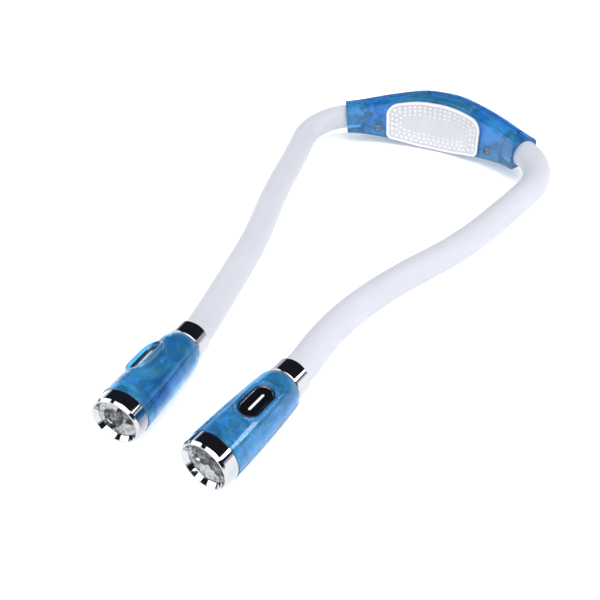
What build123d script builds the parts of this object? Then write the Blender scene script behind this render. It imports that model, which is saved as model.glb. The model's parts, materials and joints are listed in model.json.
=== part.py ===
"""Neck reading light: a curved battery housing worn behind the neck, two bendable arms, a lamp head on each.

Millimetres, +Z up. The light lies on a table: the origin is the centre of the housing's underside,
the arms reach towards -Y, and left and right are as seen from in front of the lamp heads, +X to the right.
"""
import os
from math import asin, cos, degrees, pi, radians, sin, tan

from build123d import *

# Driving sizes of the whole light
HOUSING_HEIGHT = 37.4
HOUSING_DEPTH = 18.6
HOUSING_HALF_CHORD = 64.4  # from the middle plane to the centre of either end
HOUSING_TURN = 33.0  # degrees of arc from the middle to either end
HOUSING_WALL = 1.9
TUBE_DIAMETER = 16.0
ARM_LENGTH = 230.0  # of soft tube seen between the housing and a lamp head
HEAD_LENGTH = 65.0
HEAD_RADIUS = 12.5  # at its widest
HEAD_WALL = 1.6
HEAD_NOSE_UP = 11.6  # degrees that a lamp head looks up when the light lies down

# How each arm is bent: degrees that each fifth of it turns inwards
LEFT_TURNS = (74.1, -3.7, 6.6, -8.5, -0.5)
RIGHT_TURNS = (70.5, 2.3, 13.3, -9.9, -19.5)
LEFT_SPIN = 24.7  # degrees that a lamp head is twisted on its arm, its button going outwards
RIGHT_SPIN = 14.1
SETTLING_ROUNDS = 5

# Clearances and small common sizes
SLIP = 0.05  # radial, round a piece pushed into a bore
COVER_GAP = 0.15  # round the battery cover
MOVING_GAP = 0.25  # round a button
SHADOW = 0.1  # between two pieces that face each other without touching
OVERRUN = 40.0  # past a face, for cuts that go right through

# Housing
HOUSING_END_HEIGHT = 18.6
HOUSING_OUTER_ROUND = 6.0
HOUSING_INNER_ROUND = 2.2
LEVEL_RUN = 5.0  # from the middle to where the height begins to fall
TOP_CURVE_RUN = 14.0  # of the curve from level to the straight slope
END_CURVE_RUN = 16.0  # of the curve from the slope to the level end
SLOPE_END = 67.0  # where the height is that of the end
SOCKET_DEPTH = 10.0
SOCKET_WEB = 2.4  # wall at the bottom of the socket, which the anchor pulls against
BULKHEAD = 1.6
SEAM_BACK = 1.0  # of the seam between the shells from the arc's middle line, away from the neck

# Battery cover
COVER_HALF_WIDTH = 33.5
COVER_MARGIN = 2.0  # of housing above and below the cover
COVER_THICKNESS = 2.0
COVER_PROUD = 0.9
COVER_TOP_ROUND = 9.0
COVER_BOTTOM_ROUND = 4.0
COVER_RIM = 1.5
COVER_RIM_HEIGHT = 0.5
COVER_LEDGE = 1.2  # of housing wall that the cover's edge sits on
COVER_RIB = 1.2
COVER_RIB_DEPTH = 2.2

# Cells and contacts
CELL_DIAMETER = 10.5
CELL_LENGTH = 43.4
CELL_EDGE = 0.6
NIPPLE_DIAMETER = 3.8
NIPPLE_LENGTH = 1.1
CELL_PITCH = 10.65
CELL_BACK = 0.9  # of the cells' axis from the arc's middle line, towards the neck
CRADLE_RIB = 1.4
CRADLE_PLAY = 0.15
CONTACT_THICKNESS = 0.4
CONTACT_WIDTH = 7.6
CONTACT_BOW = 2.0  # how far a sprung contact stands off its bulkhead

# Screws
SCREW_SHANK_DIAMETER = 2.2
SCREW_HEAD_DIAMETER = 4.2
SCREW_HEAD_HEIGHT = 1.5
SCREW_SLOT_WIDTH = 0.8
SCREW_SLOT_DEPTH = 0.7
SCREW_BITE = 5.0  # length of shank in the far boss
SCREW_SUNK = 0.6
SCREW_PLAY = 0.1
BOSS_WALL = 1.2
HOUSING_SCREW_DROP = 5.9  # below the height of the arm

# Bendable arm
CORE_DIAMETER = 9.0
CORE_BORE = 4.4
CABLE_DIAMETER = 3.0
CABLE_TAIL = 3.0
ANCHOR_DIAMETER = 12.2
ANCHOR_LENGTH = 4.0
LIFT_RADIUS = 62.0  # of the short bend that raises the lamp head

# Lamp head, along its own axis from the back of the collar
COLLAR_LENGTH = 10.0
COLLAR_RADIUS = 9.9
COLLAR_ROUND = 0.7
TUBE_GRIP = 8.0  # of soft tube inside the collar
CORE_TAIL = 2.2  # of bare core past the end of the tube
REAR_WALL = 1.6
SPIGOT_WALL = 1.0
SPIGOT_LENGTH = 3.8
NECK_RADIUS = 10.0  # of the shells where they meet the collar
SHOULDER_RADIUS = 11.4
SHOULDER_RUN = 5.6
SHOULDER_SHARE = 0.46  # of the shoulder's run, where its outline turns most
WIDEST_AT = 54.0
BEZEL_LENGTH = 7.3
BEZEL_RADIUS = 12.2
BEZEL_RIM_RADIUS = 11.5
BEZEL_RIM_RUN = 1.2
MOUTH_RADIUS = 10.9
MOUTH_DEPTH = 2.3
FRONT_SPIGOT_RADIUS = 11.3
FRONT_SPIGOT_LENGTH = 4.0

# Reflector and lights
OPTIC_RADIUS = 10.0
OPTIC_DEPTH = 9.0
OPTIC_LIP = 0.5  # of the bezel that holds the reflector in
BOARD_THICKNESS = 1.2
BOARD_SEAT = 1.2
LED_SPREAD = 4.1  # of either light from the lamp head's axis
LED_DIAMETER = 5.0
LED_FLANGE_DIAMETER = 5.8
LED_FLANGE_HEIGHT = 1.0
LED_HEIGHT = 8.6
WELL_MOUTH_RADIUS = 4.8
WELL_FLOOR_RADIUS = 3.1
WELL_FLOOR = 2.0

# Button
BUTTON_AT = 32.6
BUTTON_LENGTH = 18.0
BUTTON_WIDTH = 7.8
BUTTON_TRAVEL = 0.8
BUTTON_SUNK = 0.25  # below its frame
BUTTON_ROUND = 0.6
BUTTON_FLANGE = 0.9
BUTTON_FLANGE_THICKNESS = 0.9
MARK_LENGTH = 10.8
MARK_WIDTH = 1.1
MARK_DEPTH = 0.2
FRAME_WIDTH = 1.1
FRAME_SUNK = 1.4  # below the oval pad's rim
FRAME_DEPTH = 5.2  # of its underside below the oval pad's rim
PAD_LENGTH = 23.2
PAD_WIDTH = 13.6
PAD_RISE = 0.3  # of the oval pad's rim above the barrel
PAD_ROUND = 0.9

# Switch
SWITCH_SIDE = 6.2
SWITCH_HEIGHT = 3.8
PLUNGER_DIAMETER = 3.4
PLUNGER_GRIP = 1.4  # of plunger inside the switch at rest
SWITCH_BOARD_LENGTH = 15.6
SWITCH_BOARD_WIDTH = 15.6
POST_DIAMETER = 2.6
WIRE_DIAMETER = 1.2
WIRE_GAP = 0.2  # between the two wires where they leave the arm
WIRE_CLEARANCE = 0.2  # between a wire and the bosses it passes
WIRE_STUB = 1.5  # straight part of a wire where it leaves the arm
WIRE_BEND = 3.0
REAR_SCREW_AT = 18.0
FRONT_SCREW_AT = 48.0

# Sizes worked out from these
ARC_RADIUS = HOUSING_HALF_CHORD / sin(radians(HOUSING_TURN))
ARC_CENTRE = Vector(0, -ARC_RADIUS, 0)
END_Y = ARC_RADIUS * cos(radians(HOUSING_TURN)) - ARC_RADIUS
TUBE_HEIGHT = HOUSING_HEIGHT / 2
INNER_RADIUS = ARC_RADIUS - HOUSING_DEPTH / 2
OUTER_RADIUS = ARC_RADIUS + HOUSING_DEPTH / 2
SEAM = SHADOW / 2
SPLIT_RADIUS = ARC_RADIUS + SEAM_BACK
TUBE_RADIUS = TUBE_DIAMETER / 2
CORE_RADIUS = CORE_DIAMETER / 2
BAY_HALF_LENGTH = (CELL_LENGTH + NIPPLE_LENGTH + CONTACT_BOW) / 2 + CONTACT_THICKNESS
COVER_BACK = INNER_RADIUS + COVER_THICKNESS - COVER_PROUD
BEZEL_AT = HEAD_LENGTH - BEZEL_LENGTH
OPTIC_AT = HEAD_LENGTH - MOUTH_DEPTH - OPTIC_DEPTH
SEAT_AT = OPTIC_AT - BOARD_THICKNESS
SHOULDER_AT = COLLAR_LENGTH + SHOULDER_RUN
BARREL_SAG = HEAD_RADIUS - SHOULDER_RADIUS
BARREL_RUN = WIDEST_AT - SHOULDER_AT
BARREL_SLOPE = 2 * BARREL_SAG / BARREL_RUN
PAD_TOP = HEAD_RADIUS - BARREL_SAG * ((BUTTON_AT - WIDEST_AT) / BARREL_RUN) ** 2 + PAD_RISE
FRAME_TOP = PAD_TOP - FRAME_SUNK
FRAME_BOTTOM = PAD_TOP - FRAME_DEPTH
BUTTON_TOP = FRAME_TOP - BUTTON_SUNK
BUTTON_BOTTOM = FRAME_BOTTOM - SHADOW - BUTTON_FLANGE_THICKNESS
SWITCH_TOP = BUTTON_BOTTOM - BUTTON_TRAVEL - MOVING_GAP
BOARD_TOP = SWITCH_TOP - SWITCH_HEIGHT
BOARD_BOTTOM = BOARD_TOP - BOARD_THICKNESS
BORE_RADIUS = OPTIC_RADIUS + SLIP
PILOT_RADIUS = SCREW_SHANK_DIAMETER / 2 + SLIP
BOSS_RADIUS = PILOT_RADIUS + BOSS_WALL
HEAD_POCKET_RADIUS = SCREW_HEAD_DIAMETER / 2 + SCREW_PLAY
WIRE_SPREAD = HEAD_POCKET_RADIUS + BOSS_WALL + WIRE_CLEARANCE + WIRE_DIAMETER / 2
# The collar's rounded back edge touches the table
HEAD_LIE = ((COLLAR_RADIUS - COLLAR_ROUND) * cos(radians(HEAD_NOSE_UP))
            + COLLAR_ROUND * (1 - sin(radians(HEAD_NOSE_UP))))
CELLS = int((HOUSING_HEIGHT - 2 * HOUSING_WALL) / CELL_PITCH)
# The housing's screws stand midway between the cover's edge and the anchor's end
COVER_EDGE_ANGLE = degrees(asin(COVER_HALF_WIDTH / INNER_RADIUS))
ANCHOR_END_ANGLE = HOUSING_TURN - degrees((SOCKET_DEPTH + SOCKET_WEB + ANCHOR_LENGTH) / ARC_RADIUS)
HOUSING_SCREW_ANGLE = (COVER_EDGE_ANGLE + ANCHOR_END_ANGLE) / 2
HOUSING_SCREW_HEIGHT = TUBE_HEIGHT - HOUSING_SCREW_DROP


def sector(inner, outer, half_angle, height, bottom=0.0):
    """A curved wall round the housing's arc centre."""
    ring = Circle(outer) - Circle(inner)
    reach = outer * 2
    spread = reach * tan(radians(half_angle))
    wedge = make_face(Polyline((0, 0), (spread, reach), (-spread, reach), close=True))
    wall = extrude(ring & wedge, height)
    return Pos(ARC_CENTRE.X, ARC_CENTRE.Y, bottom) * wall


def housing_side_view(inset):
    """The housing seen from behind: level in the middle, then a long straight slope to its low ends."""
    rise = (HOUSING_HEIGHT - HOUSING_END_HEIGHT) / 2
    end_x = HOUSING_HALF_CHORD + HOUSING_DEPTH
    centre = HOUSING_HEIGHT / 2
    top = HOUSING_HEIGHT - inset
    slope = rise / (SLOPE_END - LEVEL_RUN - (TOP_CURVE_RUN + END_CURVE_RUN) / 2)
    high_x = LEVEL_RUN + TOP_CURVE_RUN
    low_x = SLOPE_END - END_CURVE_RUN
    high = top - slope * TOP_CURVE_RUN / 2
    low = top - rise + slope * END_CURVE_RUN / 2
    quarter = [
        Line((0, top), (LEVEL_RUN, top)),
        Bezier((LEVEL_RUN, top), (LEVEL_RUN + TOP_CURVE_RUN / 2, top), (high_x, high)),
        Line((high_x, high), (low_x, low)),
        Bezier((low_x, low), (SLOPE_END - END_CURVE_RUN / 2, top - rise), (SLOPE_END, top - rise)),
        Line((SLOPE_END, top - rise), (end_x, top - rise)),
        Line((end_x, top - rise), (end_x, centre)),
        Line((end_x, centre), (0, centre)),
        Line((0, centre), (0, top)),
    ]
    face = make_face(quarter)
    upper = face + mirror(face, Plane.YZ)
    return upper + mirror(upper, Plane.XZ.offset(-centre))


def front_prism(face):
    """A side view drawn in X and height, drawn out along Y through the whole housing."""
    return extrude(Plane.XZ * face, OVERRUN * 2, both=True)


def housing_block(inset):
    """The housing's outer form, or its hollow when inset by the wall."""
    block = sector(INNER_RADIUS + inset, OUTER_RADIUS - inset, HOUSING_TURN, HOUSING_HEIGHT)
    return block & front_prism(housing_side_view(inset))


def long_edges(block, radius):
    """The top and bottom edges of the housing at one radius, without the upright ones at its ends."""

    def on_arc(edge):
        reach = [(edge @ share - ARC_CENTRE - Vector(0, 0, (edge @ share).Z)).length for share in (0, 0.5, 1)]
        across = abs((edge @ 0).X - (edge @ 1).X)
        return all(abs(value - radius) < SLIP for value in reach) and across > SLIP

    return block.edges().filter_by(on_arc)


def rounded_housing(inset=0.0):
    """The housing, or a form inside it, with its outer long edges rounded well and its inner ones lightly."""
    block = housing_block(inset)
    block = fillet(long_edges(block, OUTER_RADIUS - inset), HOUSING_OUTER_ROUND - inset)
    if inset > 0:
        return block
    return fillet(long_edges(block, INNER_RADIUS), HOUSING_INNER_ROUND)


def curved_slab(start, stop, face):
    """A plate between two radii of the arc, cut to an outline seen from the neck."""
    return sector(start, stop, HOUSING_TURN, HOUSING_HEIGHT) & front_prism(face)


def radial_rod(angle, height, start, stop, radius):
    """A cylinder on the arc that points away from its centre, from one radius to another."""
    out = Vector(sin(radians(angle)), cos(radians(angle)), 0)
    foot = ARC_CENTRE + out * start + Vector(0, 0, height)
    return Plane(origin=foot, z_dir=out) * extrude(Circle(radius), stop - start)


def cover_outline(inset=0.0):
    """The battery cover's outline: it follows the housing, with large top corners and small bottom ones."""
    middle = HOUSING_HEIGHT / 2
    box = Pos(0, middle) * Rectangle(2 * (COVER_HALF_WIDTH - inset), HOUSING_HEIGHT)
    face = housing_side_view(COVER_MARGIN + inset) & box
    corners = ShapeList(face.vertices().group_by(Axis.X)[0] + face.vertices().group_by(Axis.X)[-1])
    face = fillet(corners.filter_by(lambda corner: corner.Y > middle), COVER_TOP_ROUND - inset)
    corners = ShapeList(face.vertices().group_by(Axis.X)[0] + face.vertices().group_by(Axis.X)[-1])
    return fillet(corners.filter_by(lambda corner: corner.Y < middle - COVER_TOP_ROUND), COVER_BOTTOM_ROUND - inset)


def bend(spot, heading, normal, length, turn):
    """One stretch of an arm that turns to the left about a normal; gives its edge, end and heading."""
    centre = spot + normal.cross(heading) * (length / radians(turn))
    about = Axis((0, 0, 0), normal)
    spoke = spot - centre
    end = centre + spoke.rotate(about, turn)
    return ThreePointArc(spot, centre + spoke.rotate(about, turn / 2), end), end, heading.rotate(about, turn)


def arm_route(side, turns, tilt, lift):
    """An arm's arcs from the housing's end to its head; its plane is tilted, then it lifts to the head."""
    along_x = Axis.X
    normal = Vector(0, 0, 1).rotate(along_x, tilt)
    start = Vector(side * HOUSING_HALF_CHORD, END_Y, TUBE_HEIGHT)
    leaving = Vector(side * cos(radians(HOUSING_TURN)), -sin(radians(HOUSING_TURN)), 0).rotate(along_x, tilt)
    lift_length = LIFT_RADIUS * radians(lift)
    stretch = (ARM_LENGTH - lift_length) / len(turns)
    edges = []
    spot = start
    heading = leaving
    for turn in turns:
        edge, spot, heading = bend(spot, heading, normal, stretch, -side * turn)
        edges.append(edge)
    lift = HEAD_NOSE_UP - degrees(asin(heading.Z))
    level = heading.cross(Vector(0, 0, 1)).normalized()
    edge, spot, heading = bend(spot, heading, level, lift_length, lift)
    edges.append(edge)
    return edges, start, leaving, spot, heading, lift


def settled_arm(side, turns):
    """The arm's route with its plane tilted so that its lamp head lies on the table."""
    tilt = 0.0
    lift = HEAD_NOSE_UP
    for _ in range(SETTLING_ROUNDS):
        route = arm_route(side, turns, tilt, lift)
        tilt += degrees(asin((route[3].Z - HEAD_LIE) / (END_Y - route[3].Y)))
        lift = route[5]
    return route[:5]


def tube_along(route, outer, inner, before, after):
    """A round tube along an arm, with straight stubs of two lengths before and after it."""
    edges, start, leaving, end, arriving = route
    first = start - leaving * before
    last = end + arriving * after
    path = Wire([Line(first, start)] + edges + [Line(end, last)])
    section = Circle(outer)
    if inner > 0:
        section -= Circle(inner)
    tube = sweep(Plane(origin=first, z_dir=leaving) * section, path=path)
    wanted = pi * (outer ** 2 - inner ** 2) * path.length
    print(f"tube {outer:.2f}/{inner:.2f}: length {path.length:.1f}, volume over section times length"
          f" {tube.volume / wanted:.5f}")
    return tube


def rod_in_socket(route, start, stop, outer, inner=0.0):
    """A round piece on the arm's straight stub inside the housing, at depths measured from its end."""
    edges, mouth, leaving, end, arriving = route
    section = Circle(outer)
    if inner > 0:
        section -= Circle(inner)
    return Plane(origin=mouth - leaving * start, z_dir=-leaving) * extrude(section, stop - start)


def cell_rows():
    """Height and direction of each cell: neighbours point opposite ways."""
    lowest = HOUSING_HEIGHT / 2 - CELL_PITCH * (CELLS - 1) / 2
    return [(lowest + CELL_PITCH * row, 1 if row % 2 == 0 else -1) for row in range(CELLS)]


def along_x(start, stop, radius, height):
    """A cylinder along X at the cells' place, at one height."""
    rod = Plane(origin=(start, -CELL_BACK, height), z_dir=(1, 0, 0)) * extrude(Circle(radius), stop - start)
    return rod


def battery_cells():
    """Three cells side by side, each with its nipple."""
    cells = []
    radius = CELL_DIAMETER / 2
    for height, way in cell_rows():
        tip = BAY_HALF_LENGTH - CONTACT_THICKNESS
        body = along_x(tip - NIPPLE_LENGTH - CELL_LENGTH, tip - NIPPLE_LENGTH, radius, height)
        body = chamfer(body.edges().filter_by(GeomType.CIRCLE), CELL_EDGE)
        body += along_x(tip - NIPPLE_LENGTH, tip, NIPPLE_DIAMETER / 2, height)
        cells.append(body if way > 0 else mirror(body, Plane.YZ))
    return Compound(children=cells)


def contact_plates():
    """Flat contacts that the nipples press on."""
    plates = []
    for height, way in cell_rows():
        plate = Pos((BAY_HALF_LENGTH - CONTACT_THICKNESS / 2) * way, -CELL_BACK, height) * Box(
            CONTACT_THICKNESS, CONTACT_WIDTH, CONTACT_WIDTH)
        plates.append(plate)
    return Compound(children=plates)


def contact_springs():
    """Sprung contacts: a plate with a bowed leaf that presses on the flat end of a cell."""
    springs = []
    half = CONTACT_WIDTH / 2
    for height, way in cell_rows():
        bow = CONTACT_BOW - SHADOW
        inset = half - CONTACT_THICKNESS
        outside = ThreePointArc((0, -half), (bow, 0), (0, half))
        inside = ThreePointArc((0, -inset), (bow - CONTACT_THICKNESS, 0), (0, inset))
        face = make_face([outside, inside, Line((0, -half), (0, -inset)), Line((0, inset), (0, half))])
        leaf = extrude(face, CONTACT_WIDTH / 2, both=True)
        base = Pos(-CONTACT_THICKNESS / 2, 0, 0) * Box(CONTACT_THICKNESS, CONTACT_WIDTH, CONTACT_WIDTH)
        spring = Pos(-BAY_HALF_LENGTH + CONTACT_THICKNESS, -CELL_BACK, height) * (leaf + base)
        springs.append(spring if way > 0 else mirror(spring, Plane.YZ))
    return Compound(children=springs)


def cell_spaces():
    """The room that the cells take, with a little play."""
    rods = []
    for height, _ in cell_rows():
        rods.append(along_x(-BAY_HALF_LENGTH, BAY_HALF_LENGTH, CELL_DIAMETER / 2 + CRADLE_PLAY, height))
    return Part() + rods


def bay_walls():
    """Bulkheads beside the cells and the cradle ribs under them, carried by the outer shell."""
    depth = OUTER_RADIUS - ARC_RADIUS
    walls = []
    for side in (-1, 1):
        centre = side * (BAY_HALF_LENGTH + BULKHEAD / 2)
        front = CELL_BACK + CELL_DIAMETER / 2
        walls.append(Pos(centre, (depth - front) / 2, HOUSING_HEIGHT / 2) * Box(
            BULKHEAD, depth + front, HOUSING_HEIGHT))
        centre = side * CELL_LENGTH / 4
        rib = Pos(centre, (depth - CELL_BACK) / 2, HOUSING_HEIGHT / 2) * Box(
            CRADLE_RIB, depth + CELL_BACK, HOUSING_HEIGHT)
        walls.append(rib - cell_spaces())
    joined = Part() + walls
    in_wall = sector(SPLIT_RADIUS + SEAM, OUTER_RADIUS - HOUSING_WALL / 2, HOUSING_TURN, HOUSING_HEIGHT)
    outside = joined & in_wall & rounded_housing(HOUSING_WALL / 2)
    inside = joined & rounded_housing(HOUSING_WALL + SHADOW)
    return outside + inside


def housing_screw_places():
    return [(side * HOUSING_SCREW_ANGLE, HOUSING_SCREW_HEIGHT) for side in (-1, 1)]


def outer_shell(block, hollow, sockets):
    """The half of the housing that faces away from the neck."""
    half = sector(SPLIT_RADIUS + SEAM, OUTER_RADIUS + OVERRUN, HOUSING_TURN + 1, HOUSING_HEIGHT)
    shell = (block - hollow - sockets - cell_spaces()) & half
    shell += bay_walls()
    for angle, height in housing_screw_places():
        shell += radial_rod(angle, height, SPLIT_RADIUS + SEAM, OUTER_RADIUS - HOUSING_WALL / 2, BOSS_RADIUS)
        shell -= radial_rod(angle, height, SPLIT_RADIUS, SPLIT_RADIUS + SCREW_BITE + SCREW_PLAY, PILOT_RADIUS)
    return shell


def inner_shell(block, hollow, sockets):
    """The half that faces the neck, with the opening for the cells and the step the cover sits in."""
    half = sector(INNER_RADIUS - OVERRUN, SPLIT_RADIUS - SEAM, HOUSING_TURN + 1, HOUSING_HEIGHT)
    shell = (block - hollow - sockets - cell_spaces()) & half
    seat = INNER_RADIUS + SCREW_SUNK + SCREW_HEAD_HEIGHT
    for angle, height in housing_screw_places():
        shell += radial_rod(angle, height, INNER_RADIUS + HOUSING_WALL / 2, SPLIT_RADIUS - SEAM,
                            HEAD_POCKET_RADIUS + BOSS_WALL)
        shell -= radial_rod(angle, height, INNER_RADIUS - OVERRUN, seat, HEAD_POCKET_RADIUS)
        shell -= radial_rod(angle, height, INNER_RADIUS, SPLIT_RADIUS, PILOT_RADIUS)
    shell -= curved_slab(INNER_RADIUS - OVERRUN, ARC_RADIUS, cover_outline(COVER_LEDGE))
    return shell - curved_slab(INNER_RADIUS - OVERRUN, COVER_BACK + SEAM, cover_outline(-COVER_GAP))


def battery_cover():
    """The white cover: a curved plate with a raised rim, and a rib behind that fits the opening."""
    front = INNER_RADIUS - COVER_PROUD
    cover = curved_slab(front, COVER_BACK, cover_outline())
    cover += curved_slab(front - COVER_RIM_HEIGHT, front, cover_outline() - cover_outline(COVER_RIM))
    fit = COVER_LEDGE + COVER_GAP
    rib = cover_outline(fit) - cover_outline(fit + COVER_RIB)
    return cover + curved_slab(COVER_BACK, COVER_BACK + COVER_RIB_DEPTH, rib)


def screw(length):
    """A pan-head screw along Z: its head's underside at zero, its shank downwards."""
    body = extrude(Circle(SCREW_SHANK_DIAMETER / 2), -length)
    body += extrude(Circle(SCREW_HEAD_DIAMETER / 2), SCREW_HEAD_HEIGHT)
    top = SCREW_HEAD_HEIGHT - SCREW_SLOT_DEPTH / 2
    cross = Box(SCREW_HEAD_DIAMETER, SCREW_SLOT_WIDTH, SCREW_SLOT_DEPTH)
    return body - Pos(0, 0, top) * cross


def housing_screws():
    """The two screws that close the housing, driven from the neck side."""
    screws = []
    for angle, height in housing_screw_places():
        out = Vector(sin(radians(angle)), cos(radians(angle)), 0)
        seat = INNER_RADIUS + SCREW_SUNK + SCREW_HEAD_HEIGHT
        place = Plane(origin=ARC_CENTRE + out * seat + Vector(0, 0, height), z_dir=-out)
        screws.append(place * screw(SPLIT_RADIUS + SCREW_BITE - seat))
    return Compound(children=screws)


def turned(*corners):
    """A ring or disc turned round the lamp head's axis from corners given as place and radius."""
    return revolve(Plane.XZ * make_face(Polyline(*corners, close=True)), Axis.X)


def ring(start, stop, outer, inner=0.0):
    """A plain ring round the lamp head's axis."""
    return turned((start, inner), (stop, inner), (stop, outer), (start, outer))


def barrel_radius_at(place):
    """The lamp head's outer radius along its barrel, which swells gently to its widest place."""
    return HEAD_RADIUS - BARREL_SAG * ((place - WIDEST_AT) / BARREL_RUN) ** 2


def barrel_face():
    """Half of the lamp head's long section: a rounded shoulder, then the long swell of the barrel."""
    middle = (SHOULDER_AT + BEZEL_AT) / 2
    soft_run = SHOULDER_RUN * (1 - SHOULDER_SHARE)
    neck = (COLLAR_LENGTH, NECK_RADIUS)
    shoulder = (SHOULDER_AT, SHOULDER_RADIUS)
    front = (BEZEL_AT, barrel_radius_at(BEZEL_AT))
    edges = [
        Bezier(neck, (SHOULDER_AT - soft_run, SHOULDER_RADIUS - BARREL_SLOPE * soft_run), shoulder),
        Bezier(shoulder, (middle, SHOULDER_RADIUS + BARREL_SLOPE * (middle - SHOULDER_AT)), front),
        Line(front, (BEZEL_AT, 0)),
        Line((BEZEL_AT, 0), (COLLAR_LENGTH, 0)),
        Line((COLLAR_LENGTH, 0), neck),
    ]
    return make_face(edges)


def hollow_face(start, stop):
    """Half of the long section of the space inside a lamp head, a wall's thickness inside the barrel."""
    shoulder = SHOULDER_AT + HEAD_WALL * BARREL_SLOPE
    middle = (shoulder + stop) / 2
    return make_face(Polyline(
        (start, 0), (start, NECK_RADIUS - HEAD_WALL / 2), (shoulder, SHOULDER_RADIUS - HEAD_WALL),
        (middle, barrel_radius_at(middle) - HEAD_WALL), (stop, barrel_radius_at(stop) - HEAD_WALL),
        (stop, 0), close=True))


def strip(start, stop, outer, inner=0.0):
    """A rectangle in the lamp head's long section, between two places and two radii."""
    return Pos((start + stop) / 2, (outer + inner) / 2) * Rectangle(stop - start, outer - inner)


def head_shell_section():
    """The wall of a lamp head's shells in long section, with both spigots and the seat of the lights."""
    spigot_radius = TUBE_RADIUS + SLIP + SPIGOT_WALL
    web_at = TUBE_GRIP + SHADOW
    cavity_at = TUBE_GRIP + CORE_TAIL + REAR_WALL
    ledge_at = SEAT_AT - BOARD_SEAT
    section = barrel_face()
    section += strip(COLLAR_LENGTH - SPIGOT_LENGTH, COLLAR_LENGTH, spigot_radius)
    section += strip(BEZEL_AT, BEZEL_AT + FRONT_SPIGOT_LENGTH, FRONT_SPIGOT_RADIUS)
    section -= hollow_face(cavity_at, ledge_at)
    section -= strip(0, web_at, TUBE_RADIUS + SLIP)
    section -= strip(web_at, cavity_at, CORE_RADIUS + SLIP)
    section -= strip(ledge_at, SEAT_AT, BORE_RADIUS - BOARD_SEAT)
    return section - strip(SEAT_AT, HEAD_LENGTH, BORE_RADIUS)


def stadium(length, width):
    return SlotOverall(length, width)


def upright(face, bottom, top, at=BUTTON_AT):
    """A prism that stands across the lamp head's axis, from one height to another."""
    return Pos(at, 0, bottom) * extrude(face, top - bottom)


def screw_places():
    return (REAR_SCREW_AT, FRONT_SCREW_AT)


def mid_wall(place):
    """How far from the axis the middle of a shell's wall is."""
    return barrel_radius_at(place) - HEAD_WALL / 2


def upper_head_shell():
    """The upper shell with its oval pad, the hole for the button's frame and two screw bosses."""
    pad = upright(stadium(PAD_LENGTH, PAD_WIDTH), FRAME_BOTTOM, PAD_TOP)
    pad = fillet(pad.faces().sort_by(Axis.Z)[-1].edges(), PAD_ROUND)
    shell = revolve(head_shell_section(), Axis.X, revolution_arc=180) + pad
    hole = stadium(BUTTON_LENGTH + 2 * (MOVING_GAP + FRAME_WIDTH + SLIP),
                   BUTTON_WIDTH + 2 * (MOVING_GAP + FRAME_WIDTH + SLIP))
    shell -= upright(hole, 0, PAD_TOP + OVERRUN)
    for place in screw_places():
        shell += upright(Circle(BOSS_RADIUS), 0, mid_wall(place), place)
        shell -= upright(Circle(PILOT_RADIUS), 0, SCREW_BITE + SCREW_PLAY, place)
    return shell


def board_post_places():
    along = SWITCH_BOARD_LENGTH / 2 - POST_DIAMETER / 2
    across = SWITCH_BOARD_WIDTH / 2 - POST_DIAMETER / 2
    return [(BUTTON_AT + i * along, j * across) for i in (-1, 1) for j in (-1, 1)]


def lower_head_shell():
    """The lower shell with pockets for the screws' heads and four posts under the switch board."""
    shell = revolve(head_shell_section(), Axis.X, revolution_arc=-180)
    for place in screw_places():
        seat = -barrel_radius_at(place) + SCREW_SUNK + SCREW_HEAD_HEIGHT
        shell += upright(Circle(HEAD_POCKET_RADIUS + BOSS_WALL), -mid_wall(place), 0, place)
        shell -= upright(Circle(HEAD_POCKET_RADIUS), -OVERRUN, seat, place)
        shell -= upright(Circle(PILOT_RADIUS), -HEAD_RADIUS, 0, place)
    for along, across in board_post_places():
        foot = -(mid_wall(along) ** 2 - across ** 2) ** 0.5
        shell += Pos(0, across, 0) * upright(Circle(POST_DIAMETER / 2), foot, BOARD_BOTTOM, along)
    return shell


def head_screws():
    """The two screws that join a lamp head's shells, driven from below."""
    screws = []
    for place in screw_places():
        seat = -barrel_radius_at(place) + SCREW_SUNK + SCREW_HEAD_HEIGHT
        screws.append(Pos(place, 0, seat) * Rot(180, 0, 0) * screw(SCREW_BITE - seat))
    return Compound(children=screws)


def collar():
    """The metal ring that closes the back of a lamp head round the arm."""
    front = COLLAR_LENGTH - SHADOW
    shape = ring(0, front, COLLAR_RADIUS)
    shape = fillet(shape.edges().filter_by(GeomType.CIRCLE), COLLAR_ROUND)
    shape -= ring(0, front, TUBE_RADIUS + SLIP)
    return shape - ring(COLLAR_LENGTH - SPIGOT_LENGTH - SHADOW, COLLAR_LENGTH,
                        TUBE_RADIUS + 2 * SLIP + SPIGOT_WALL)


def bezel():
    """The metal ring at the front, with a flared mouth whose back edge holds the reflector in."""
    back = BEZEL_AT + SHADOW
    spigot_end = BEZEL_AT + FRONT_SPIGOT_LENGTH + SHADOW
    lip = HEAD_LENGTH - MOUTH_DEPTH + SEAM
    return turned(
        (back, FRONT_SPIGOT_RADIUS + SLIP), (spigot_end, FRONT_SPIGOT_RADIUS + SLIP),
        (spigot_end, BORE_RADIUS), (lip, BORE_RADIUS), (lip, OPTIC_RADIUS - OPTIC_LIP),
        (HEAD_LENGTH, MOUTH_RADIUS), (HEAD_LENGTH, BEZEL_RIM_RADIUS),
        (HEAD_LENGTH - BEZEL_RIM_RUN, BEZEL_RADIUS), (back, BEZEL_RADIUS))


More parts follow.
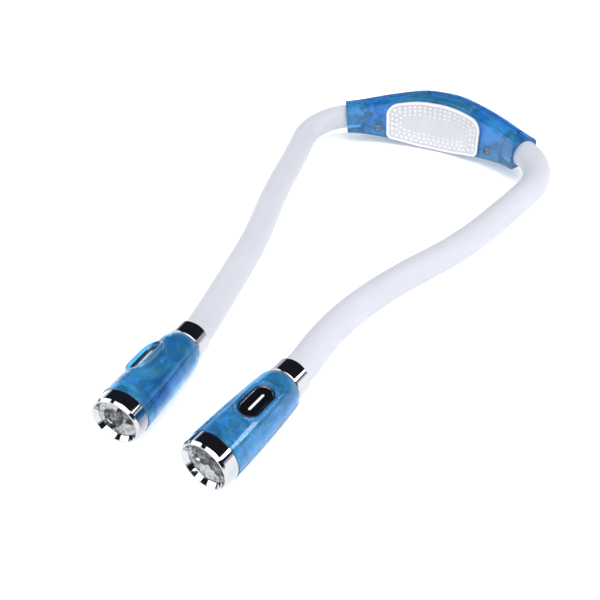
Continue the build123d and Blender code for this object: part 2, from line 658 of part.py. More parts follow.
def reflector():
    """A solid plug with two flared wells side by side, one round each light."""
    front = OPTIC_AT + OPTIC_DEPTH
    floor = OPTIC_AT + WELL_FLOOR
    shape = ring(OPTIC_AT, front, OPTIC_RADIUS)
    flange = LED_FLANGE_HEIGHT + SHADOW
    for side in (-1, 1):
        well = turned((floor, 0), (floor, WELL_FLOOR_RADIUS), (front, WELL_MOUTH_RADIUS), (front, 0))
        well += ring(OPTIC_AT, floor, LED_DIAMETER / 2 + SLIP)
        well += ring(OPTIC_AT, OPTIC_AT + flange, LED_FLANGE_DIAMETER / 2 + SLIP)
        shape -= Pos(0, side * LED_SPREAD, 0) * well
    return shape


def leds():
    """Two lights with domed ends, standing on the board."""
    radius = LED_DIAMETER / 2
    dome_at = OPTIC_AT + LED_HEIGHT - radius
    light = ring(OPTIC_AT, OPTIC_AT + LED_FLANGE_HEIGHT, LED_FLANGE_DIAMETER / 2)
    light += ring(OPTIC_AT, dome_at, radius)
    quarter = make_face([Line((dome_at, 0), (dome_at, radius)),
                         RadiusArc((dome_at, radius), (dome_at + radius, 0), radius),
                         Line((dome_at + radius, 0), (dome_at, 0))])
    light += revolve(Plane.XZ * quarter, Axis.X)
    return Compound(children=[Pos(0, side * LED_SPREAD, 0) * light for side in (-1, 1)])


def button_frame():
    """The metal surround of the button, pressed into the oval pad."""
    gap = 2 * MOVING_GAP
    outside = stadium(BUTTON_LENGTH + gap + 2 * FRAME_WIDTH, BUTTON_WIDTH + gap + 2 * FRAME_WIDTH)
    inside = stadium(BUTTON_LENGTH + gap, BUTTON_WIDTH + gap)
    return upright(outside - inside, FRAME_BOTTOM, FRAME_TOP)


def button():
    """The push-button: rounded top, a sunk line along it, and a flange that keeps it in."""
    cap = upright(stadium(BUTTON_LENGTH, BUTTON_WIDTH), BUTTON_BOTTOM, BUTTON_TOP)
    cap = fillet(cap.faces().sort_by(Axis.Z)[-1].edges(), BUTTON_ROUND)
    cap += upright(stadium(BUTTON_LENGTH + 2 * BUTTON_FLANGE, BUTTON_WIDTH + 2 * BUTTON_FLANGE),
                   BUTTON_BOTTOM, BUTTON_BOTTOM + BUTTON_FLANGE_THICKNESS)
    return cap - upright(stadium(MARK_LENGTH, MARK_WIDTH), BUTTON_TOP - MARK_DEPTH, BUTTON_TOP + OVERRUN)


def switch_plunger():
    """The small round plunger between the button and the switch."""
    return upright(Circle(PLUNGER_DIAMETER / 2), SWITCH_TOP - PLUNGER_GRIP, BUTTON_BOTTOM)


def switch():
    """The switch's body with the well its plunger moves in."""
    body = upright(Rectangle(SWITCH_SIDE, SWITCH_SIDE), BOARD_TOP, SWITCH_TOP)
    floor = SWITCH_TOP - PLUNGER_GRIP - BUTTON_TRAVEL - MOVING_GAP
    return body - upright(Circle(PLUNGER_DIAMETER / 2 + SLIP), floor, SWITCH_TOP)


def switch_board():
    return upright(Rectangle(SWITCH_BOARD_LENGTH, SWITCH_BOARD_WIDTH), BOARD_BOTTOM, BOARD_TOP)


def led_board():
    return ring(SEAT_AT, OPTIC_AT, OPTIC_RADIUS)


def head_wires():
    """Two wires from the arm, past the rear screw and under the switch board, to the lights' board."""
    start = TUBE_GRIP + CORE_TAIL + WIRE_CLEARANCE
    near = (WIRE_DIAMETER + WIRE_GAP) / 2
    under = BOARD_BOTTOM - WIRE_DIAMETER / 2 - SHADOW
    spread_at = REAR_SCREW_AT - SCREW_HEAD_DIAMETER / 2
    wires = []
    for side in (-1, 1):
        route = [(start, side * near, 0), (start + WIRE_STUB, side * near, 0),
                 (spread_at, side * WIRE_SPREAD, under), (SEAT_AT - SHADOW, side * WIRE_SPREAD, under)]
        path = FilletPolyline(*route, radius=WIRE_BEND)
        section = Plane(origin=path @ 0, z_dir=path % 0) * Circle(WIRE_DIAMETER / 2)
        wires.append(sweep(section, path=path))
    return Compound(children=wires)


def head_pieces():
    """Every piece of a lamp head in its own frame: axis along X, button upwards."""
    return {
        "collar": collar(),
        "upper_shell": upper_head_shell(),
        "lower_shell": lower_head_shell(),
        "shell_screws": head_screws(),
        "bezel": bezel(),
        "reflector": reflector(),
        "leds": leds(),
        "led_board": led_board(),
        "button_frame": button_frame(),
        "button": button(),
        "switch_plunger": switch_plunger(),
        "switch": switch(),
        "switch_board": switch_board(),
        "head_wires": head_wires(),
    }


def arm_pieces(route):
    """The bendable core, its anchor in the housing, the cable inside it and the soft sleeve over it."""
    anchor_at = SOCKET_DEPTH + SOCKET_WEB + SHADOW
    core_back = anchor_at + ANCHOR_LENGTH + SHADOW
    core_front = TUBE_GRIP + CORE_TAIL
    return {
        "sleeve": tube_along(route, TUBE_RADIUS, CORE_RADIUS + SLIP, SOCKET_DEPTH, TUBE_GRIP),
        "gooseneck_core": tube_along(route, CORE_RADIUS, CORE_BORE / 2, core_back, core_front),
        "cable": tube_along(route, CABLE_DIAMETER / 2, 0, core_back + CABLE_TAIL, core_front - SHADOW),
        "neck_anchor": rod_in_socket(route, anchor_at, anchor_at + ANCHOR_LENGTH, ANCHOR_DIAMETER / 2,
                                     CORE_RADIUS + SLIP),
    }


def head_place(route, side, spin):
    """Where a lamp head sits: on the end of its arm, its button leaning outwards by the spin."""
    end, arriving = route[3], route[4]
    up = (Vector(0, 0, 1) - arriving * arriving.Z).normalized()
    return Plane(origin=end, x_dir=arriving, z_dir=up.rotate(Axis((0, 0, 0), arriving), -side * spin))


def build():
    """Every piece in its place, by name."""
    pieces = {}
    sockets = Part()
    ends = Part()
    heads = head_pieces()
    for name, side, turns, spin in (("left", -1, LEFT_TURNS, LEFT_SPIN), ("right", 1, RIGHT_TURNS, RIGHT_SPIN)):
        route = settled_arm(side, turns)
        ends += rod_in_socket(route, -OVERRUN, SOCKET_DEPTH + SOCKET_WEB, OVERRUN)
        sockets += rod_in_socket(route, -OVERRUN, SOCKET_DEPTH, TUBE_RADIUS + SLIP)
        sockets += rod_in_socket(route, SOCKET_DEPTH, SOCKET_DEPTH + SOCKET_WEB * 2, CORE_RADIUS + SLIP)
        place = head_place(route, side, spin)
        for piece, shape in arm_pieces(route).items():
            pieces[f"{name}_{piece}"] = shape
        for piece, shape in heads.items():
            pieces[f"{name}_{piece}"] = place * shape
    block = rounded_housing()
    hollow = rounded_housing(HOUSING_WALL) - ends
    pieces["outer_shell"] = outer_shell(block, hollow, sockets)
    pieces["inner_shell"] = inner_shell(block, hollow, sockets)
    pieces["battery_cover"] = battery_cover()
    pieces["battery_cells"] = battery_cells()
    pieces["contact_plates"] = contact_plates()
    pieces["contact_springs"] = contact_springs()
    pieces["housing_screws"] = housing_screws()
    return pieces


os.makedirs("parts", exist_ok=True)
for node, solid in build().items():
    solid.label = node
    export_step(solid, f"parts/{node}.step")
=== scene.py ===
import json
from math import asin, cos, pi, radians, sin, sqrt

import bmesh
import bpy
from mathutils import Matrix, Vector


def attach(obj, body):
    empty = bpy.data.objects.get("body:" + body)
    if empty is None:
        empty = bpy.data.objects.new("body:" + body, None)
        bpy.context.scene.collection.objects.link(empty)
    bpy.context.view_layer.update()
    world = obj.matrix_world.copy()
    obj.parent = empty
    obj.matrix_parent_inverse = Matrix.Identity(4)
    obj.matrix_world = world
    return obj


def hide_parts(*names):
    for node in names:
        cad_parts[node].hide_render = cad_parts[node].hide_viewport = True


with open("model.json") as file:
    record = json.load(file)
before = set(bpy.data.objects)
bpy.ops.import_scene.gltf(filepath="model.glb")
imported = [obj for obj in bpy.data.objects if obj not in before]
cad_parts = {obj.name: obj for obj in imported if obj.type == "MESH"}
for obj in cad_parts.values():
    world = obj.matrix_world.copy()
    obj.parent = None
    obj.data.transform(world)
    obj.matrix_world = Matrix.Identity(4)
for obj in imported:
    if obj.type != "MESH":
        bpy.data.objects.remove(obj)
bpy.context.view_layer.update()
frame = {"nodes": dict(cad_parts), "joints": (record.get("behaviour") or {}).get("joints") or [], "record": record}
nodes = frame["nodes"]
scene = bpy.context.scene

# Sizes that part.py gives the solids, in metres, which the added pieces and the seam line follow.
HOUSING_HEIGHT = 0.0374
HOUSING_DEPTH = 0.0186
HOUSING_HALF_CHORD = 0.0644
HOUSING_TURN = 33.0  # degrees of arc from the middle to either end
EDGE_FALL = 0.0094  # of the housing's edge, from the middle to either end
LEVEL_RUN = 0.005  # from the middle to where the edge begins to fall
TOP_CURVE_RUN = 0.014
END_CURVE_RUN = 0.016
SLOPE_END = 0.067
SEAM_BACK = 0.001  # of the seam between the shells from the arc's middle line
COVER_HALF_WIDTH = 0.0335
COVER_MARGIN = 0.002  # of housing above and below the cover
COVER_PROUD = 0.0009
COVER_TOP_ROUND = 0.009
COVER_BOTTOM_ROUND = 0.004
COLLAR_LENGTH = 0.010
NECK_RADIUS = 0.0100
SHOULDER_RADIUS = 0.0114
SHOULDER_RUN = 0.0056
WIDEST_AT = 0.054
HEAD_RADIUS = 0.0125
LED_SPREAD = 0.0041  # of either light from the lamp head's axis

ARC_RADIUS = HOUSING_HALF_CHORD / sin(radians(HOUSING_TURN))
ARC_CENTRE = (0, -ARC_RADIUS, 0)
COVER_FACE = ARC_RADIUS - HOUSING_DEPTH / 2 - COVER_PROUD
SHOULDER_END = COLLAR_LENGTH + SHOULDER_RUN

# The added pieces, in metres.
MARK_RINGS = ((0.01070, 0.00104, 0.00020),  # length, width, and depth below the button's top
              (0.01070, 0.00104, 0.00007),
              (0.01045, 0.00080, 0.00001))
MARK_STEPS = 12  # round either end
BEAD_RADIUS = 0.00028
BEAD_SUNK = 0.00004
BEAD_PLACES = (0.0106, 0.0118, 0.0134, 0.0156, 0.022, 0.030, 0.038, 0.046, 0.052, 0.0574)
CUP_PROFILE = ((0.0048, 0.0),  # distance from a cup's middle, and depth there
               (0.0045, 0.0011),
               (0.0039, 0.0031),
               (0.0031, 0.0053),
               (0.0, 0.0053))
CUP_MOUTH = CUP_PROFILE[0][0]
CUP_HOLE = 0.00256  # round the light
CUP_STEPS = 72
CUP_FACETS = 12
PLATE_RADIUS = 0.00998
PLATE_DISH = 0.0013  # of the plate's front from its brim
PLATE_BEHIND = 0.00002  # the brim behind the plain reflector's face
PLATE_STEPS = 96
RING_STEPS = 24  # along each half of a row of bumps' upper and lower side
CORNER_TURNS = (0.4, 0.8, 1.2)  # radians
TOP_ROUND_LEAST = 0.002
BOTTOM_ROUND_LEAST = 0.0015
BUMP_ROWS = ((0.0036, 0.00108),  # distance from the cover's edge, and radius
             (0.0065, 0.00100),
             (0.0094, 0.00086))
BUMP_PITCH = 0.0036
BUMP_PROFILE = ((1.0, -0.00004),  # share of the radius, and height
                (0.94, 0.00020),
                (0.62, 0.00041))
BUMP_HEIGHT = 0.00048
BUMP_STEPS = 12

# The materials. The cover's rim is brighter than its face, and nearer to the arc's centre.
DEEP_BLUE = (0.005, 0.08, 0.42)
SEAM_WIDTH = 0.00035
SEAM_CORE = 0.4  # of the seam's width, in full colour
RIM_STARTS = 0.10792
RIM_FULL = 0.10775
NOISE_ROUGHNESS = 0.55
DRIFT_STOPS = (0.3, 0.7)  # of the noise, where a drifting value has reached its ends
BEVEL_SAMPLES = 4
MIRROR_LIMIT = 0.02  # the least roughness

FLOOR_DROP = 0.0002  # below the housing's underside
FLOOR_HALF = 3.0
GLOW = (0.34, 1.0)  # of the floor, near the object and far off
GLOW_REACH = (0.6, 2.2)


def set_stops(ramp, places, colors):
    """A colour ramp's two stops."""
    for stop, place, color in zip(ramp.color_ramp.elements, places, colors):
        stop.position = place
        stop.color = (*color, 1)


class Surface:
    """A material in the making: a Principled shader with procedural colour, roughness and bump."""

    def __init__(self, name, color, roughness, metallic=0.0):
        self.name = name
        self.material = bpy.data.materials.new(name)
        self.material.use_nodes = True
        self.tree = self.material.node_tree
        self.shader = self.tree.nodes["Principled BSDF"]
        self.color = color
        self.roughness = roughness
        self.normal = None
        self.put("Base Color", (*color, 1.0))
        self.put("Roughness", roughness)
        self.put("Metallic", metallic)

    def put(self, socket, value):
        self.shader.inputs[socket].default_value = value

    def node(self, kind, **values):
        made = self.tree.nodes.new(kind)
        for key, value in values.items():
            setattr(made, key, value)
        return made

    def link(self, a, b):
        self.tree.links.new(a, b)

    def coords(self):
        return self.node("ShaderNodeTexCoord").outputs["Object"]

    def noise(self, scale, detail=3.0, distortion=0.0):
        made = self.node("ShaderNodeTexNoise")
        made.inputs["Scale"].default_value = scale
        made.inputs["Detail"].default_value = detail
        made.inputs["Roughness"].default_value = NOISE_ROUGHNESS
        made.inputs["Distortion"].default_value = distortion
        self.link(self.coords(), made.inputs["Vector"])
        return made.outputs["Fac"]

    def drift(self, factor, low, high, socket):
        """A socket of the shader goes from one colour to another with a factor."""
        made = self.node("ShaderNodeValToRGB")
        set_stops(made, DRIFT_STOPS, (low, high))
        self.link(factor, made.inputs["Fac"])
        self.link(made.outputs["Color"], self.shader.inputs[socket])
        return self

    def mottle(self, scale, spread, tint=None, distortion=0.0):
        """The colour drifts a little, as moulded or dyed material does."""
        dark = tuple(c * (1 - spread) for c in self.color)
        light = tint or tuple(min(1.0, c * (1 + spread)) for c in self.color)
        return self.drift(self.noise(scale, distortion=distortion), dark, light, "Base Color")

    def wear(self, scale, spread):
        """The roughness varies, like handling marks."""
        low = max(MIRROR_LIMIT, self.roughness - spread)
        high = min(1.0, self.roughness + spread)
        return self.drift(self.noise(scale, detail=4.0), (low,) * 3, (high,) * 3, "Roughness")

    def use_normal(self, socket):
        self.normal = socket
        self.link(socket, self.shader.inputs["Normal"])
        return self

    def bump(self, height, distance, invert=False):
        """The surface rises with a height, by so many metres, on top of the bumps it has."""
        made = self.node("ShaderNodeBump", invert=invert)
        made.inputs["Strength"].default_value = 1.0
        made.inputs["Distance"].default_value = distance
        self.link(height, made.inputs["Height"])
        if self.normal is not None:
            self.link(self.normal, made.inputs["Normal"])
        return self.use_normal(made.outputs["Normal"])

    def grain(self, scale, height):
        """A fine bump in metres."""
        return self.bump(self.noise(scale), height)

    def soft_edges(self, radius):
        """Edges catch the light as if rounded."""
        made = self.node("ShaderNodeBevel")
        made.samples = BEVEL_SAMPLES
        made.inputs["Radius"].default_value = radius
        return self.use_normal(made.outputs["Normal"])

    def facets(self, scale, height):
        """Cells at slightly different tilts, as on a patterned reflector."""
        cells = self.node("ShaderNodeTexVoronoi")
        cells.inputs["Scale"].default_value = scale
        self.link(self.coords(), cells.inputs["Vector"])
        return self.bump(cells.outputs["Distance"], height)

    def plan_reach(self, centre):
        """How far a point is, in plan, from an upright line."""
        value = self.coords()
        for operation, other in (("SUBTRACT", centre), ("MULTIPLY", (1, 1, 0))):
            step = self.node("ShaderNodeVectorMath", operation=operation)
            self.link(value, step.inputs[0])
            step.inputs[1].default_value = other
            value = step.outputs["Vector"]
        length = self.node("ShaderNodeVectorMath", operation="LENGTH")
        self.link(value, length.inputs[0])
        return length.outputs["Value"]

    def fade(self, value, none_at, full_at, low=0.0, high=1.0):
        """Low to high as a value goes from one number to another."""
        made = self.node("ShaderNodeMapRange")
        made.inputs["From Min"].default_value = none_at
        made.inputs["From Max"].default_value = full_at
        made.inputs["To Min"].default_value = low
        made.inputs["To Max"].default_value = high
        self.link(value, made.inputs["Value"])
        return made.outputs["Result"]

    def tint_where(self, factor, color):
        """Another colour where a factor is 1."""
        base = self.shader.inputs["Base Color"]
        made = self.node("ShaderNodeMix", data_type="RGBA")
        self.link(factor, made.inputs["Factor"])
        self.link(base.links[0].from_socket, made.inputs["A"])
        made.inputs["B"].default_value = (*color, 1)
        self.link(made.outputs["Result"], base)
        return self

    def seam(self, centre, radius, width, color):
        """A fine sunk line where two shells meet on an arc."""
        offset = self.node("ShaderNodeMath", operation="SUBTRACT")
        self.link(self.plan_reach(centre), offset.inputs[0])
        offset.inputs[1].default_value = radius
        size = self.node("ShaderNodeMath", operation="ABSOLUTE")
        self.link(offset.outputs["Value"], size.inputs[0])
        factor = self.fade(size.outputs["Value"], width, width * SEAM_CORE)
        return self.bump(factor, width, invert=True).tint_where(factor, color)

    def dull(self, level):
        self.put("Specular IOR Level", level)
        return self

    def coat(self, weight, roughness):
        self.put("Coat Weight", weight)
        self.put("Coat Roughness", roughness)
        return self

    def clear(self, weight, ior):
        self.put("Transmission Weight", weight)
        self.put("IOR", ior)
        return self

    def under_skin(self, weight, depth):
        """Light goes in and out again, as far as a depth in metres."""
        self.put("Subsurface Weight", weight)
        self.put("Subsurface Radius", (depth, depth, depth))
        self.put("Subsurface Scale", 1.0)
        return self

    def sheen(self, weight, roughness):
        self.put("Sheen Weight", weight)
        self.put("Sheen Roughness", roughness)
        return self


def blue_plastic(name, color=(0.055, 0.44, 1.0), swirl=(0.15, 0.64, 1.0)):
    """Translucent blue plastic, a little cloudy, with soft swirls in it."""
    blue = Surface(name, color, roughness=0.07).soft_edges(0.0007)
    blue.mottle(scale=80, spread=0.36, tint=swirl, distortion=1.4).grain(scale=170, height=0.00005)
    return blue.clear(0.78, ior=1.35).coat(0.25, roughness=0.04)


def materials():
    """The materials by name, the housing's shells with one each."""
    blue = blue_plastic("blue_shell")
    inner = blue_plastic("inner_shell_blue")
    outer = blue_plastic("outer_shell_blue", (0.03, 0.30, 0.90), (0.06, 0.42, 1.0))
    for shell in (inner, outer):
        shell.seam(ARC_CENTRE, ARC_RADIUS + SEAM_BACK, SEAM_WIDTH, DEEP_BLUE)
    white = Surface("white_cover", (0.62, 0.62, 0.66), roughness=0.28).soft_edges(0.0003)
    white.mottle(scale=90, spread=0.03).grain(scale=1500, height=0.000012)
    white.under_skin(0.12, depth=0.001)
    rim = white.fade(white.plan_reach(ARC_CENTRE), RIM_STARTS, RIM_FULL)
    white.tint_where(rim, (0.84, 0.84, 0.86))
    bumps = Surface("cover_bumps", (0.80, 0.80, 0.83), roughness=0.18)
    bumps.mottle(scale=90, spread=0.02).grain(scale=1500, height=0.00001)
    sleeve = Surface("soft_sleeve", (0.52, 0.535, 0.59), roughness=0.60)
    sleeve.mottle(scale=45, spread=0.025).wear(scale=120, spread=0.08)
    sleeve.grain(scale=2600, height=0.00002).sheen(0.10, roughness=0.5)
    sleeve.under_skin(0.15, depth=0.002)
    chrome = Surface("chrome_trim", (0.50, 0.51, 0.54), roughness=0.05, metallic=1.0)
    chrome.soft_edges(0.0003).wear(scale=260, spread=0.03)
    silver = Surface("reflector_silver", (0.42, 0.43, 0.45), roughness=0.26, metallic=1.0)
    silver.wear(scale=500, spread=0.06).facets(scale=420, height=0.0004)
    led = Surface("clear_led", (0.88, 0.90, 0.93), roughness=0.05)
    led.clear(0.85, ior=1.5).grain(scale=700, height=0.000008)
    black = Surface("black_button", (0.004, 0.004, 0.006), roughness=0.22).soft_edges(0.0003)
    black.wear(scale=400, spread=0.05).dull(0.22)
    switch = Surface("black_switch", (0.012, 0.012, 0.013), roughness=0.45).soft_edges(0.0002)
    switch.grain(scale=1800, height=0.00001)
    board = Surface("circuit_board", (0.55, 0.60, 0.56), roughness=0.35)
    board.mottle(scale=420, spread=0.25).grain(scale=900, height=0.00001)
    wire = Surface("wire_insulation", (0.03, 0.03, 0.032), roughness=0.4)
    wire.grain(scale=900, height=0.00001)
    steel = Surface("gooseneck_steel", (0.42, 0.43, 0.45), roughness=0.32, metallic=1.0)
    steel.wear(scale=600, spread=0.08)
    contact = Surface("contact_metal", (0.72, 0.71, 0.68), roughness=0.22, metallic=1.0)
    contact.wear(scale=600, spread=0.07)
    cell = Surface("cell_jacket", (0.09, 0.10, 0.12), roughness=0.3, metallic=0.6)
    cell.mottle(scale=120, spread=0.08)
    screw = Surface("screw_steel", (0.2, 0.2, 0.21), roughness=0.3, metallic=1.0)
    screw.wear(scale=800, spread=0.1)
    mark = Surface("white_mark", (0.86, 0.87, 0.9), roughness=0.4).grain(scale=900, height=0.00001)
    made = (blue, inner, outer, white, bumps, sleeve, chrome, silver, led, black, switch, board,
            wire, steel, contact, cell, screw, mark)
    return {surface.name: surface.material for surface in made}


# Each node wears its slot's material, but the housing's shells have their own.
looks = materials()
for row in frame["record"]["subparts"]:
    piece = nodes[row["node"]]
    look = looks.get(f"{row['node']}_blue", looks[row["material_slot"]])
    for place in piece.material_slots:
        place.material = look
    if not piece.material_slots:
        piece.data.materials.append(look)


def finished(name, shape, body, material, smooth=True):
    """A mesh piece that rides on a body and takes its finish from a slot."""
    mesh = bpy.data.meshes.new(name)
    bmesh.ops.recalc_face_normals(shape, faces=shape.faces)
    for face in shape.faces:
        face.smooth = smooth
    shape.to_mesh(mesh)
    shape.free()
    piece = bpy.data.objects.new(name, mesh)
    scene.collection.objects.link(piece)
    piece.data.materials.append(material)
    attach(piece, body)
    return piece


def middle_of(node):
    """The mean of a round node's distinct vertices, which lies on its axis."""
    spots = {tuple(round(value, 6) for value in vertex.co) for vertex in nodes[node].data.vertices}
    return sum((Vector(spot) for spot in spots), Vector()) / len(spots)


def span(node, axis):
    """How near and how far a node reaches along an axis."""
    reach = [vertex.co.dot(axis) for vertex in nodes[node].data.vertices]
    return min(reach), max(reach)


class Head:
    """A lamp head's own axes: x forwards, z out through the button."""

    def __init__(self, side):
        self.side = side
        self.x = (middle_of(f"{side}_bezel") - middle_of(f"{side}_collar")).normalized()
        press = next(joint for joint in frame["joints"] if joint["name"] == f"{side}_button_press")
        up = -Vector(press["axis"])
        self.z = (up - self.x * up.dot(self.x)).normalized()
        self.y = self.z.cross(self.x)
        centre = middle_of(f"{side}_collar")
        self.axis_y = centre.dot(self.y)
        self.axis_z = centre.dot(self.z)
        self.back = span(f"{side}_collar", self.x)[0]

    def at(self, along, across, up):
        """A point in the frame from its place along the head's axis, and off it."""
        return (self.x * (self.back + along) + self.y * (self.axis_y + across)
                + self.z * (self.axis_z + up))


def join_rings(shape, rings):
    """Faces from each ring of vertices to the next, but none where corners of one fall together."""
    for outer, inner in zip(rings, rings[1:]):
        for i in range(len(outer)):
            j = (i + 1) % len(outer)
            corners = (outer[i], outer[j], inner[j], inner[i])
            if len({tuple(round(value, 7) for value in corner.co) for corner in corners}) == 4:
                shape.faces.new(corners)


def stadium_outline(length, width):
    half = length / 2 - width / 2
    spots = []
    for end in (1, -1):
        for step in range(MARK_STEPS + 1):
            angle = -pi / 2 + pi * step / MARK_STEPS
            spots.append((end * (half + width / 2 * cos(angle)), end * width / 2 * sin(angle)))
    return spots


def button_mark(head):
    """The white line inlaid in the button's groove, with its top edge rounded."""
    name = f"{head.side}_button"
    low, high = span(name, head.x)
    along = (low + high) / 2 - head.back
    top = span(name, head.z)[1] - head.axis_z
    shape = bmesh.new()
    rings = []
    for length, width, drop in MARK_RINGS:
        rings.append([shape.verts.new(head.at(along + u, v, top - drop))
                      for u, v in stadium_outline(length, width)])
    join_rings(shape, rings)
    shape.faces.new(rings[-1])
    finished(f"{head.side}_button_mark", shape, name, looks["white_mark"], smooth=False)


def bead(name, spots):
    """A fine round bead along a line of points."""
    data = bpy.data.curves.new(name, "CURVE")
    data.dimensions = "3D"
    data.bevel_depth = BEAD_RADIUS
    data.bevel_resolution = 2
    line = data.splines.new("NURBS")
    line.points.add(len(spots) - 1)
    for point, spot in zip(line.points, spots):
        point.co = (*spot, 1.0)
    line.order_u = 3
    line.use_endpoint_u = True
    piece = bpy.data.objects.new(name, data)
    scene.collection.objects.link(piece)
    data.materials.append(looks["blue_shell"])
    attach(piece, "housing")


def barrel_radius(along):
    """The lamp head's outer radius, close to the CAD's."""
    if along < SHOULDER_END:
        left = 1 - (along - COLLAR_LENGTH) / SHOULDER_RUN
        return NECK_RADIUS + (SHOULDER_RADIUS - NECK_RADIUS) * (1 - left ** 2)
    off = (along - WIDEST_AT) / (WIDEST_AT - SHOULDER_END)
    return HEAD_RADIUS - (HEAD_RADIUS - SHOULDER_RADIUS) * off ** 2


def parting_beads(head):
    """The fine raised line where the head's two shells meet, on either side."""
    for name, side in (("inner", 1), ("outer", -1)):
        spots = [head.at(place, side * (barrel_radius(place) - BEAD_SUNK), 0) for place in BEAD_PLACES]
        bead(f"{head.side}_{name}_parting_bead", spots)


def cup_depth(reach):
    """How deep a reflector's cup is at a distance from its middle."""
    for (outer, shallow), (inner, deep) in zip(CUP_PROFILE, CUP_PROFILE[1:]):
        if reach >= inner:
            share = max(0.0, (outer - reach) / (outer - inner))
            return shallow + (deep - shallow) * share
    return CUP_PROFILE[-1][1]


def cup_ring(reach):
    """Points round a cup: across and up from the head's axis, and how far from the cup's own.
    Between mouth and hole the ring is faceted. It ends where it would pass into the other cup."""
    facet = 2 * pi / CUP_FACETS
    spots = []
    for step in range(CUP_STEPS):
        angle = 2 * pi * step / CUP_STEPS
        radius = reach
        if CUP_HOLE < reach < CUP_MOUTH:
            radius = reach * cos(facet / 2) / cos(angle % facet - facet / 2)
        up = radius * cos(angle)
        across = LED_SPREAD + radius * sin(angle)
        if across < 0:
            share = LED_SPREAD / (LED_SPREAD - across)
            up *= share
            radius *= share
            across = 0.0
        spots.append((across, up, radius))
    return spots


def reflector_cups(head):
    """The bright dished plate and its two faceted cups, which run into each other round the lights."""
    name = f"{head.side}_reflector"
    low, high = span(name, head.x)
    rim = high - head.back - PLATE_BEHIND
    front = rim - PLATE_DISH
    rear = low - head.back
    reaches = [reach for reach, _ in CUP_PROFILE[:-1]] + [CUP_HOLE]
    shape = bmesh.new()
    for side in (-1, 1):
        rings = []
        for reach in reaches:
            rings.append([shape.verts.new(head.at(front - cup_depth(radius), side * across, up))
                          for across, up, radius in cup_ring(reach)])
        join_rings(shape, rings)
    mouth = []
    brim = []
    heel = []
    for step in range(PLATE_STEPS):
        angle = 2 * pi * step / PLATE_STEPS
        reach = LED_SPREAD * abs(sin(angle)) + sqrt(CUP_MOUTH ** 2 - (LED_SPREAD * cos(angle)) ** 2)
        for row, radius, place in ((mouth, reach, front), (brim, PLATE_RADIUS, rim),
                                   (heel, PLATE_RADIUS, rear)):
            row.append(shape.verts.new(head.at(place, radius * sin(angle), radius * cos(angle))))
    join_rings(shape, (mouth, brim, heel))
    shape.faces.new(heel)
    piece = finished(f"{head.side}_reflector_cups", shape, "housing",
                     looks["reflector_silver"], smooth=False)
    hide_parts(name)


def housing_drop(x):
    """How far the housing's edge has fallen at a distance from the middle, as in the CAD."""
    slope = EDGE_FALL / (SLOPE_END - LEVEL_RUN - (TOP_CURVE_RUN + END_CURVE_RUN) / 2)
    run = x - LEVEL_RUN
    if run < 0:
        return 0.0
    if run < TOP_CURVE_RUN:
        return slope * run ** 2 / (2 * TOP_CURVE_RUN)
    return slope * (run - TOP_CURVE_RUN / 2)


def cover_ring(inset):
    """Points round the cover at a distance inside its edge: X, and height from the housing's middle."""
    half = COVER_HALF_WIDTH - inset
    top_round = max(COVER_TOP_ROUND - inset, TOP_ROUND_LEAST)
    low_round = max(COVER_BOTTOM_ROUND - inset, BOTTOM_ROUND_LEAST)
    top_end = half - top_round
    low_end = half - low_round

    def edge(x):
        return HOUSING_HEIGHT / 2 - COVER_MARGIN - inset - housing_drop(x)

    top = [top_end - top_end * step / RING_STEPS for step in range(RING_STEPS, -1, -1)]
    low = [low_end - low_end * step / RING_STEPS for step in range(RING_STEPS + 1)]
    row = [(x, edge(x)) for x in top]
    row += [(half - top_round * (1 - sin(a)), edge(top_end) - top_round * (1 - cos(a)))
            for a in (*CORNER_TURNS, pi / 2)]
    row += [(half - low_round * (1 - cos(a)), -edge(low_end) + low_round * (1 - sin(a)))
            for a in (0.0, *CORNER_TURNS)]
    row += [(x, -edge(x)) for x in low]
    return row + [(-x, z) for x, z in row[::-1][1:-1]]


def evenly(row, pitch):
    """Points at an even pitch along a closed row."""
    sides = list(zip(row, row[1:] + row[:1]))
    lengths = [sqrt((b[0] - a[0]) ** 2 + (b[1] - a[1]) ** 2) for a, b in sides]
    total = sum(lengths)
    count = round(total / pitch)
    spots = []
    walked = 0.0
    k = 0
    for number in range(count):
        wanted = total * number / count
        while walked + lengths[k] < wanted:
            walked += lengths[k]
            k += 1
        share = (wanted - walked) / lengths[k]
        (ax, az), (bx, bz) = sides[k]
        spots.append((ax + (bx - ax) * share, az + (bz - az) * share))
    return spots


def round_bump(shape, x, rise, radius):
    """A low round bump on the cover's face, which curves round the housing's arc."""
    turn = asin(x / COVER_FACE)
    out = Vector((sin(turn), cos(turn), 0))
    level = Vector((cos(turn), -sin(turn), 0))
    foot = Vector((0, -ARC_RADIUS, HOUSING_HEIGHT / 2 + rise)) + out * COVER_FACE
    rings = []
    for share, height in BUMP_PROFILE:
        ring = []
        for step in range(BUMP_STEPS):
            angle = 2 * pi * step / BUMP_STEPS
            sideways = level * (radius * share * cos(angle))
            upwards = Vector((0, 0, radius * share * sin(angle)))
            ring.append(shape.verts.new(foot + sideways + upwards - out * height))
        rings.append(ring)
    join_rings(shape, rings)
    top = rings[-1]
    crown = shape.verts.new(foot - out * BUMP_HEIGHT)
    for i in range(BUMP_STEPS):
        shape.faces.new((top[i], top[(i + 1) % BUMP_STEPS], crown))


def cover_bumps():
    """Rows of bumps that follow the cover's edge."""
    shape = bmesh.new()
    for inset, radius in BUMP_ROWS:
        for x, rise in evenly(cover_ring(inset), BUMP_PITCH):
            round_bump(shape, x, rise, radius)
    finished("cover_bumps", shape, "battery_cover", looks["cover_bumps"])


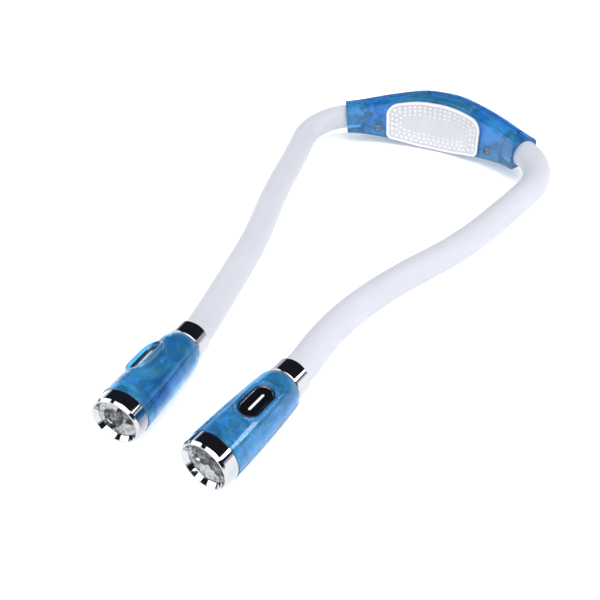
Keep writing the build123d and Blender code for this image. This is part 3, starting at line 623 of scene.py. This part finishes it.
def camera():
    """The photograph's view, looking down on the heads from the right."""
    place = Vector((0.1433, -0.3705, 0.2297))
    elevation = radians(43.9)
    roll = radians(7.51)
    yaw = radians(-37.78)
    ahead = Vector((sin(yaw) * cos(elevation), cos(yaw) * cos(elevation), -sin(elevation)))
    right = ahead.cross(Vector((0, 0, 1))).normalized()
    down = ahead.cross(right)
    across = cos(roll) * right + sin(roll) * down
    fall = -sin(roll) * right + cos(roll) * down
    data = bpy.data.cameras.new("camera")
    data.sensor_width = 36.0
    data.lens = 36.0
    data.clip_start = 0.01
    eye = bpy.data.objects.new("camera", data)
    turn = Matrix((across, -fall, -ahead)).transposed()
    eye.matrix_world = Matrix.Translation(place) @ turn.to_4x4()
    scene.collection.objects.link(eye)
    scene.camera = eye


def area_light(name, place, target, size, watts):
    data = bpy.data.lights.new(name, "AREA")
    data.shape = "RECTANGLE"
    data.size, data.size_y = size
    data.energy = watts
    lamp = bpy.data.objects.new(name, data)
    lamp.location = place
    way = Vector(target) - Vector(place)
    lamp.rotation_euler = way.to_track_quat("-Z", "Y").to_euler()
    scene.collection.objects.link(lamp)


def surround():
    """White to the camera. What the object mirrors is a pale strip low down and a dark ceiling."""
    world = bpy.data.worlds.new("surround")
    scene.world = world
    world.use_nodes = True
    tree = world.node_tree
    back = tree.nodes["Background"]
    place = tree.nodes.new("ShaderNodeTexCoord")
    parts = tree.nodes.new("ShaderNodeSeparateXYZ")
    ramp = tree.nodes.new("ShaderNodeValToRGB")
    ray = tree.nodes.new("ShaderNodeLightPath")
    pick = tree.nodes.new("ShaderNodeMix")
    pick.data_type = "RGBA"
    tree.links.new(place.outputs["Generated"], parts.inputs["Vector"])
    tree.links.new(parts.outputs["Z"], ramp.inputs["Fac"])
    tree.links.new(ray.outputs["Is Camera Ray"], pick.inputs["Factor"])
    tree.links.new(ramp.outputs["Color"], pick.inputs["A"])
    pick.inputs["B"].default_value = (1, 1, 1, 1)
    tree.links.new(pick.outputs["Result"], back.inputs["Color"])
    set_stops(ramp, (0.05, 0.17), ((0.9, 0.93, 1.0), (0.018, 0.019, 0.026)))
    back.inputs["Strength"].default_value = 1.0


def studio():
    """A white floor that glows more the further off it is, and four lights: a key light from the
    right, a fill from the left, one above, and a small one from behind."""
    mesh = bpy.data.meshes.new("floor")
    shape = bmesh.new()
    bmesh.ops.create_grid(shape, x_segments=2, y_segments=2, size=FLOOR_HALF)
    shape.to_mesh(mesh)
    shape.free()
    floor = bpy.data.objects.new("floor", mesh)
    floor.location = (0, 0, -FLOOR_DROP)
    scene.collection.objects.link(floor)
    paper = Surface("floor_paper", (0.95, 0.95, 0.95), roughness=0.95).mottle(scale=6, spread=0.004)
    paper.put("Emission Color", (1, 1, 1, 1))
    glow = paper.fade(paper.plan_reach((0, 0, 0)), *GLOW_REACH, *GLOW)
    paper.link(glow, paper.shader.inputs["Emission Strength"])
    floor.data.materials.append(paper.material)
    area_light("key_light", (1.1, -0.5, 1.5), (0, -0.14, 0), size=(1.3, 1.3), watts=27.0)
    area_light("fill_light", (-1.2, -0.3, 0.9), (0, -0.14, 0), size=(1.2, 1.2), watts=13.0)
    area_light("top_light", (0.4, -0.5, 1.9), (0, -0.2, 0), size=(1.6, 1.6), watts=23.0)
    area_light("block_light", (0.85, 0.50, 0.42), (0.02, -0.27, 0.02), size=(0.30, 0.26), watts=2.2)


for side in ("left", "right"):
    lamp_head = Head(side)
    button_mark(lamp_head)
    parting_beads(lamp_head)
    reflector_cups(lamp_head)
cover_bumps()
camera()
surround()
studio()
scene.view_settings.view_transform = "Standard"
